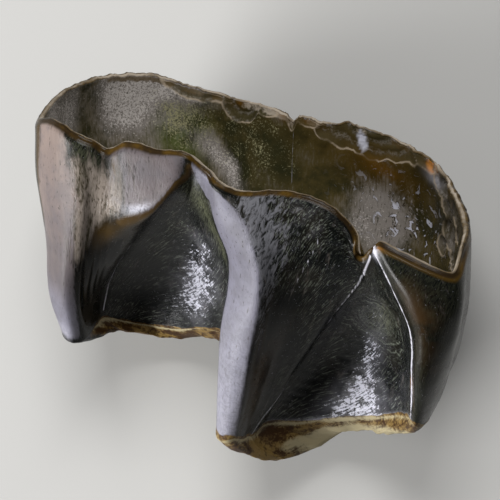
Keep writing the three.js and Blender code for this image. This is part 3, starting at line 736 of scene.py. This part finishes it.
# Colours are linear, as the shader takes them
enamel = {
    "dark": (0.0026, 0.0032, 0.0028),
    "darkWarm": (0.006, 0.005, 0.003),
    "hair": (0.100, 0.110, 0.088),        # fine growth lines in the valleys
    "faceTop": (0.200, 0.155, 0.136),     # the pillars' pale faces: a painted reflection of the light, creamy above and bluish below
    "faceLow": (0.155, 0.150, 0.185),
    "faceMid": (0.110, 0.092, 0.095),
    "faceShade": (0.082, 0.078, 0.088),
    "pore": (0.035, 0.030, 0.026),
    "tan": (0.225, 0.190, 0.162),
    "tanDark": (0.045, 0.038, 0.022),
    "tanPore": (0.022, 0.015, 0.007),
    "leather": (0.10, 0.10, 0.11),
    "glint": (0.56, 0.56, 0.64),
    "glow": (0.16, 0.16, 0.185),
    # pale lines: a painted highlight along the back pillar's sharp edge; the other pale lines are creases
    # and a crack
    "lineAndEdgeHighlight": (0.55, 0.54, 0.60),
    "amber": (0.066, 0.036, 0.005),
    "amberBright": (0.44, 0.17, 0.020),
    "lip": (0.045, 0.026, 0.008),
    "olive": (0.10, 0.105, 0.065),
    "brown": (0.035, 0.019, 0.007),
    "cavity": (0.080, 0.060, 0.020),
    "cavityDark": (0.026, 0.025, 0.010),
    "sheen": (0.50, 0.46, 0.43),
    "sheenDull": (0.24, 0.215, 0.195),
    "scar": (0.075, 0.058, 0.026),
    "green": (0.085, 0.115, 0.030),
    "dust": (0.32, 0.30, 0.17),
    "rim": (0.100, 0.066, 0.026),
    "rimShade": (0.022, 0.013, 0.005),
    # the rim's pale edge: cream, with a painted highlight along it
    "rimCreamAndHighlight": (0.40, 0.34, 0.27),
    # flake edges: pale broken enamel with a painted highlight along them
    "flakeEdge": (0.42, 0.34, 0.25),
    "crest": (0.195, 0.125, 0.040),
    "crestDark": (0.040, 0.018, 0.006),
    "crestPale": (0.36, 0.31, 0.19),
    "roughness": 0.25,
    "ior": 1.19,
    "bump": 0.00015,         # depth of the finest relief, in metres
}
material = bpy.data.materials.new("fossil_enamel")
material.use_nodes = True
tree = material.node_tree
shader = tree.nodes["Principled BSDF"]


# A socket gets a link from another node or a value of its own
def put(socket, value):
    if isinstance(value, bpy.types.NodeSocket):
        tree.links.new(value, socket)
    elif isinstance(value, tuple) and socket.type == "RGBA":
        socket.default_value = (*value, 1)
    else:
        socket.default_value = value


# A node's output, after its settings and its inputs have been put in
def made(kind, inputs, output=0, **settings):
    node = tree.nodes.new(kind)
    for key, value in settings.items():
        setattr(node, key, value)
    for place, value in inputs.items():
        put(node.inputs[place], value)
    return node.outputs[output]


def mathOf(operation, *values):
    return made("ShaderNodeMath", dict(enumerate(values)), operation=operation)


def plus(a, b):
    return mathOf("ADD", a, b)


def times(a, b):
    return mathOf("MULTIPLY", a, b)


# under * (1 - share) + over * share
def paint(under, share, over):
    return made("ShaderNodeMix", {"Factor": share, 6: under, 7: over}, 2, data_type="RGBA")


# Layers over a colour, each with where it shows and what it is: a name in enamel, or a colour
def layered(colour, layers):
    for share, over in layers:
        colour = paint(colour, share, enamel[over] if isinstance(over, str) else over)
    return colour


# A smooth step of the value between low and high
def ramp(value, low, high, toLow=0.0, toHigh=1.0):
    inputs = {"Value": value, "From Min": low, "From Max": high, "To Min": toLow, "To Max": toHigh}
    return made("ShaderNodeMapRange", inputs, interpolation_type="SMOOTHSTEP")


def noiseOf(where, scale, detail=2.0, roughness=0.5, distortion=0.0):
    return made("ShaderNodeTexNoise", {"Vector": where, "Scale": scale, "Detail": detail,
                                       "Roughness": roughness, "Distortion": distortion}, "Fac")


def stretched(where, x, y):
    return made("ShaderNodeMapping", {"Vector": where, "Scale": (x, y, 1)})


def joined(x, y):
    return made("ShaderNodeCombineXYZ", {0: x, 1: y})


def split(vector):
    return made("ShaderNodeSeparateXYZ", {0: vector}).node.outputs


# A pattern shared out round zero: amount * (pattern - 0.5)
def uneven(pattern, amount):
    return times(plus(pattern, -0.5), amount)


# 0 where a value is further than far from the middle, 1 where it is nearer than close
def nearTo(value, middle, far, close):
    return ramp(mathOf("ABSOLUTE", plus(value, -middle)), far, close)


# Grains of a pattern, standing closer where the amount is higher
def scatter(pattern, amount, soft=0.14):
    return ramp(plus(pattern, times(amount, 0.34)), 0.74, 0.74 + soft)


# The part of a field above one half, its edge broken by a pattern
def brokenEdge(amount, pattern, unevenness):
    return ramp(plus(amount, uneven(pattern, unevenness)), 0.3, 0.7)


at = {}
for first in range(0, len(fieldNames), 3):
    names = fieldNames[first:first + 3]
    numbers = made("ShaderNodeAttribute", {}, "Vector", attribute_name="_".join(names))
    at.update(zip(names, split(numbers)))
here = made("ShaderNodeTexCoord", {}, "Object")
wallPlace = made("ShaderNodeTexCoord", {}, "UV")          # in centimetres: round the ring, down the wall
roundRing, down = split(wallPlace)[:2]
leaned = joined(plus(roundRing, times(down, relief["fluteLean"])), down)
broad = noiseOf(here, 110, 2, 0.5)
cloud = noiseOf(here, 300, 4, 0.6)
foil = noiseOf(here, 1900, 4, 0.7, 0.9)
fine = noiseOf(here, 2100, 3, 0.6)
grit = noiseOf(here, 4800, 3, 0.65, 0.6)
pits = noiseOf(stretched(wallPlace, 36, 11), 1.0, 2, 0.6, 0.4)
streaks = noiseOf(stretched(wallPlace, 13, 2.4), 1.0, 4, 0.65, 0.35)
grooves = noiseOf(stretched(wallPlace, 9, 1.0), 1.0, 3, 0.6, 0.5)
wrinkles = noiseOf(stretched(leaned, 24, 6), 1.0, 3, 0.65, 0.7)
strands = noiseOf(stretched(leaned, 80, 8), 1.0, 3, 0.65, 0.4)
rings = noiseOf(joined(times(plus(at["curl"], times(cloud, 3)), 3.0), times(foil, 7)), 1.0, 2, 0.6, 0.5)
hair = plus(strands, times(ramp(at["curl"], 6.5, 4.0), mathOf("SUBTRACT", rings, strands)))


# The outer wall: black enamel with growth lines, then olive, brown and amber, the leathery patch, the tan
# trough, the pale faces with a painted reflection of the light, and painted glints
def wallColour():
    amber = paint(enamel["amber"], ramp(at["amber"], 0.5, 1.0), enamel["amberBright"])
    wrinkled = ramp(plus(wrinkles, times(at["leather"], 0.3)), 0.62, 0.85)
    tone = plus(times(grooves, 0.7), plus(times(streaks, 0.3), uneven(pits, 0.3)))
    tanned = layered(enamel["tanDark"], [
        (ramp(tone, 0.35, 0.57), "tan"),
        (ramp(pits, 0.46, 0.34, 0.0, 0.55), "tanPore"),
    ])
    warm = plus(at["warm"], times(uneven(broad, 0.8), ramp(at["warm"], 0.0, 0.5)))
    face = layered(enamel["faceLow"], [
        (ramp(warm, 0.05, 0.5), "faceMid"),
        (ramp(warm, 0.5, 0.95), "faceTop"),
        (ramp(cloud, 0.42, 0.62, 0.0, 0.4), "faceShade"),
        (times(ramp(grooves, 0.50, 0.64), ramp(at["tan"], 0.0, 0.4, 0.1, 0.7)), "tanDark"),
        (ramp(pits, 0.38, 0.30, 0.0, 0.8), "pore"),
    ])
    edge = times(plus(plus(pits, streaks), -1), 0.9)
    strandFoil = plus(times(plus(foil, strands), 0.75), -0.25)
    return layered(enamel["dark"], [
        (ramp(cloud, 0.4, 0.7), "darkWarm"),
        (times(at["hair"], times(ramp(hair, 0.52, 0.68), ramp(cloud, 0.35, 0.6, 0.2, 1.0))), "hair"),
        (times(ramp(grit, 0.67, 0.71), 0.4), "glint"),
        (times(at["olive"], ramp(strands, 0.38, 0.62)), "olive"),
        (times(at["brown"], ramp(cloud, 0.3, 0.6)), "brown"),
        (ramp(at["lip"], 0.8, 0.2), "lip"),
        (ramp(at["amber"], 0.05, 0.55), amber),
        (times(wrinkled, ramp(at["leather"], 0, 0.3)), "leather"),
        (ramp(plus(at["tan"], uneven(streaks, 1.6)), 0.1, 0.9), tanned),
        # the pale faces: a painted reflection of the light
        (ramp(plus(at["bloom"], edge), 0.12, 0.88), face),
        (times(at["glint"], ramp(cloud, 0.35, 0.6, 0.1, 0.7)), "glow"),
        (scatter(strandFoil, at["glint"]), "glint"),
        (times(at["pale"], ramp(foil, 0.35, 0.6, 0.35, 1.0)), "glint"),
    ])


# The cavity: mottled brown, then the green patch, amber, painted sheens, dust, the wet-looking patch with
# its painted glints, the flakes with painted highlights on their ripples, and small chips along the rim,
# cream with a painted highlight
def cavityColour():
    amber = paint(enamel["amber"], ramp(at["amber"], 0.6, 1.0), enamel["amberBright"])
    glaze = plus(at["bloom"], plus(uneven(cloud, 1.1), uneven(pits, 0.6)))
    drops = noiseOf(here, 700, 3, 0.55, 1.3)
    bright = times(at["glint"], ramp(at["tan"], 0.1, 0.6, 0.25, 0.6))
    scar = layered(enamel["scar"], [
        (ramp(broad, 0.45, 0.6, 0.0, 0.6), "cavityDark"),
        (ramp(at["amber"], 0.2, 0.9), amber),
        # the right end's flakes get a painted sheen, and their ripples painted highlights
        (times(at["tan"], ramp(cloud, 0.4, 0.6, 0.1, 0.8)), "sheenDull"),
        (times(bright, ramp(foil, 0.4, 0.6)), "sheen"),
    ])
    chips = nearTo(plus(down, uneven(fine, 0.06)), -0.175, 0.045, 0.020)
    # chips below the rim: cream, with a painted highlight
    chipped = paint(enamel["rim"], ramp(broad, 0.45, 0.6), enamel["rimCreamAndHighlight"])
    return layered(enamel["cavityDark"], [
        (ramp(cloud, 0.36, 0.62), "cavity"),
        (times(at["brown"], ramp(cloud, 0.3, 0.55)), "cavityDark"),
        (times(at["olive"], ramp(cloud, 0.3, 0.6)), "green"),
        (ramp(at["amber"], 0.05, 0.9), amber),
        (ramp(glaze, 0.05, 0.85, 0.0, 0.95), "sheenDull"),
        (times(at["bloom"], ramp(pits, 0.46, 0.34, 0.0, 0.7)), "cavityDark"),
        (scatter(grit, times(at["bloom"], ramp(at["wet"], 0.1, 0.6, 1.0, 0.5))), "sheen"),
        (scatter(grit, at["dust"], 0.2), "dust"),
        (times(at["wet"], nearTo(drops, 0.60, 0.022, 0.006)), "tanPore"),
        (times(at["wet"], ramp(drops, 0.61, 0.64, 0.0, 0.9)), "glint"),
        (times(at["wet"], ramp(plus(foil, times(at["bloom"], 0.1)), 0.60, 0.68)), "sheenDull"),
        (ramp(at["flake"], 0.02, -0.05, 0.0, 0.85), scar),
        (times(chips, ramp(cloud, 0.45, 0.54, 0.0, 0.85)), chipped),
        (at["pale"], "glint"),
    ])


# The rim: a dark shoulder outside, an amber-brown top and a thin pale line along the inner edge: cream,
# with a painted highlight
def rimColour(under):
    shoulder = paint(enamel["rimShade"], ramp(cloud, 0.42, 0.65), enamel["amber"])
    top = layered(enamel["rimShade"], [
        (ramp(fine, 0.3, 0.55), "rim"),
        (ramp(broad, 0.48, 0.62, 0.0, 0.55), "rimCreamAndHighlight"),
    ])
    edgeLine = nearTo(plus(down, uneven(cloud, 0.05)), -0.095, 0.034, 0.010)
    return layered(under, [
        (nearTo(down, 0.005, 0.055, 0.015), shoulder),
        (nearTo(down, -0.085, 0.060, 0.035), top),
        (times(edgeLine, ramp(cloud, 0.36, 0.60, 0.15, 0.95)), "rimCreamAndHighlight"),
    ])


# The crest: layers along the break, darker and paler, with pale edges
def crestColour():
    layers = plus(times(noiseOf(stretched(wallPlace, 4, 13), 1.0, 4, 0.65, 0.3), 0.5), times(foil, 0.5))
    tone = plus(plus(layers, uneven(cloud, 0.7)), times(at["amber"], 0.07))
    pale = plus(plus(at["pale"], uneven(layers, 1.8)), uneven(broad, 1.0))
    return layered(enamel["crestDark"], [
        (ramp(tone, 0.42, 0.60), "crest"),
        (ramp(fine, 0.42, 0.34, 0.0, 0.6), "rimShade"),
        (ramp(pale, 0.3, 0.8, 0.0, 0.9), "crestPale"),
    ])


chipped = ramp(plus(cloud, times(at["tan"], 0.10)), 0.40, 0.58, 0.08, 0.75)
colour = layered(rimColour(paint(wallColour(), ramp(at["inside"], 0.5, 0.9), cavityColour())), [
    # flake edges, with a painted highlight along them
    (times(nearTo(at["flake"], 0.0, 0.14, 0.02), chipped), "flakeEdge"),
    # pale lines, with a painted highlight along the back pillar's edge
    (times(ramp(at["line"], 0.22, 0.06), ramp(fine, 0.3, 0.5, 0.35, 1.0)), "lineAndEdgeHighlight"),
    (brokenEdge(at["crest"], foil, 0.8), crestColour()),
])
put(shader.inputs["Base Color"], colour)

gloss = ramp(cloud, 0.3, 0.7, enamel["roughness"] - 0.05, enamel["roughness"] + 0.05)
gloss = plus(gloss, times(at["bloom"], 0.12))
gloss = plus(gloss, times(at["crest"], 0.22))
gloss = plus(gloss, times(mathOf("MAXIMUM", at["wet"], at["glint"]), -0.12))
put(shader.inputs["Roughness"], gloss)
shader.inputs["IOR"].default_value = enamel["ior"]

surface = times(pits, plus(0.12, plus(times(at["tan"], 1.1), times(at["bloom"], 0.25))))
surface = plus(surface, times(wrinkles, times(at["leather"], 1.6)))
surface = plus(surface, times(foil, plus(times(at["glint"], 1.2), times(at["crest"], 0.8))))
surface = plus(surface, times(hair, times(at["hair"], 0.5)))
surface = plus(surface, times(grit, plus(0.08, times(at["inside"], 0.3))))
bumped = made("ShaderNodeBump", {"Strength": 0.5, "Distance": enamel["bump"], "Height": surface})
put(shader.inputs["Normal"], bumped)
tooth.data.materials.append(material)
print("crown: enamel made")

# The view of the photograph: directions in the upright crown's frame, in degrees and millimetres
view = {
    "azimuth": 22.0,         # from the tongue side towards the back end
    "elevation": 25.0,
    "roll": 8.0,
    "distance": 320.0,
    "pixelsPerMm": 9.2,      # at the middle of the crown
    "lookAt": (2.5, 10.0, 26.0),
    "offCentre": (-1.304, 1.304),   # the picture's middle from lookAt, to the right and up
    "imagePixels": 500,
}


# Right, up and back of the picture: back leans by azimuth and elevation, right and up turn by the roll
def viewAxes():
    azimuth, elevation, roll = [math.radians(view[key]) for key in ("azimuth", "elevation", "roll")]
    back = Vector((math.sin(azimuth), -math.cos(azimuth), math.tan(elevation))).normalized()
    flat = Vector((math.cos(azimuth), math.sin(azimuth), 0))
    rise = back.cross(flat)
    right = flat * math.cos(roll) + rise * math.sin(roll)
    up = rise * math.cos(roll) - flat * math.sin(roll)
    return [Matrix(lay) @ axis for axis in (right, up, back)]


# lens = sensor width * pixels per millimetre * distance / picture width
def placeCamera():
    right, up, back = viewAxes()
    data = bpy.data.cameras.new("camera")
    data.sensor_width = 36
    data.sensor_height = 36
    data.lens = data.sensor_width * view["pixelsPerMm"] * view["distance"] / view["imagePixels"]
    data.clip_start = 0.01
    camera = bpy.data.objects.new("camera", data)
    bpy.context.scene.collection.objects.link(camera)
    aim = toWorld(view["lookAt"]) + (right * view["offCentre"][0] + up * view["offCentre"][1]) * metres
    place = aim + back * view["distance"] * metres
    camera.matrix_world = Matrix(((right.x, up.x, back.x, place.x), (right.y, up.y, back.y, place.y),
                                  (right.z, up.z, back.z, place.z), (0, 0, 0, 1)))
    bpy.context.scene.camera = camera


studio = {
    "skyStrength": 0.12,
    "aimAt": (0, 0, 0.02),
    "floorHalf": 3.0,        # metres
    "floorColour": (0.50, 0.495, 0.48),
    # panels: degrees round the crown and above the floor, metres away, width and height, brightness
    "panels": [
        {"name": "key", "azimuth": -140, "elevation": 18, "distance": 0.60, "size": (0.40, 0.24),
         "radiance": 22},
        {"name": "back", "azimuth": 100, "elevation": 52, "distance": 0.60, "size": (0.30, 0.24),
         "radiance": 14},
    ],
}


# A lit panel that faces the target: power = radiance * pi * area
def addPanel(panel, target):
    data = bpy.data.lights.new(panel["name"], "AREA")
    data.shape = "RECTANGLE"
    data.size, data.size_y = panel["size"]
    data.energy = panel["radiance"] * math.pi * data.size * data.size_y
    azimuth, elevation = math.radians(panel["azimuth"]), math.radians(panel["elevation"])
    away = Vector((math.cos(azimuth), math.sin(azimuth), math.tan(elevation))).normalized()
    lamp = bpy.data.objects.new(panel["name"], data)
    lamp.location = target + away * panel["distance"]
    lamp.rotation_euler = away.to_track_quat("Z", "Y").to_euler()
    bpy.context.scene.collection.objects.link(lamp)


# A faint white sky, the panels and a matt floor
def buildStudio():
    world = bpy.data.worlds.new("studio")
    bpy.context.scene.world = world
    world.use_nodes = True
    sky = world.node_tree.nodes["Background"]
    sky.inputs["Color"].default_value = (1, 1, 1, 1)
    sky.inputs["Strength"].default_value = studio["skyStrength"]
    for panel in studio["panels"]:
        addPanel(panel, Vector(studio["aimAt"]))
    size = studio["floorHalf"]
    corners = [(-size, -size, 0), (size, -size, 0), (size, size, 0), (-size, size, 0)]
    mesh = bpy.data.meshes.new("floor")
    mesh.from_pydata(corners, [], [(0, 1, 2, 3)])
    ground = bpy.data.objects.new("floor", mesh)
    bpy.context.scene.collection.objects.link(ground)
    paper = bpy.data.materials.new("floor")
    paper.use_nodes = True
    matt = paper.node_tree.nodes["Principled BSDF"]
    matt.inputs["Base Color"].default_value = (*studio["floorColour"], 1)
    matt.inputs["Roughness"].default_value = 0.8
    matt.inputs["Specular IOR Level"].default_value = 0.2
    mesh.materials.append(paper)


placeCamera()
buildStudio()
bpy.context.scene.view_settings.view_transform = "Standard"
print("studio: camera, lights and floor placed")
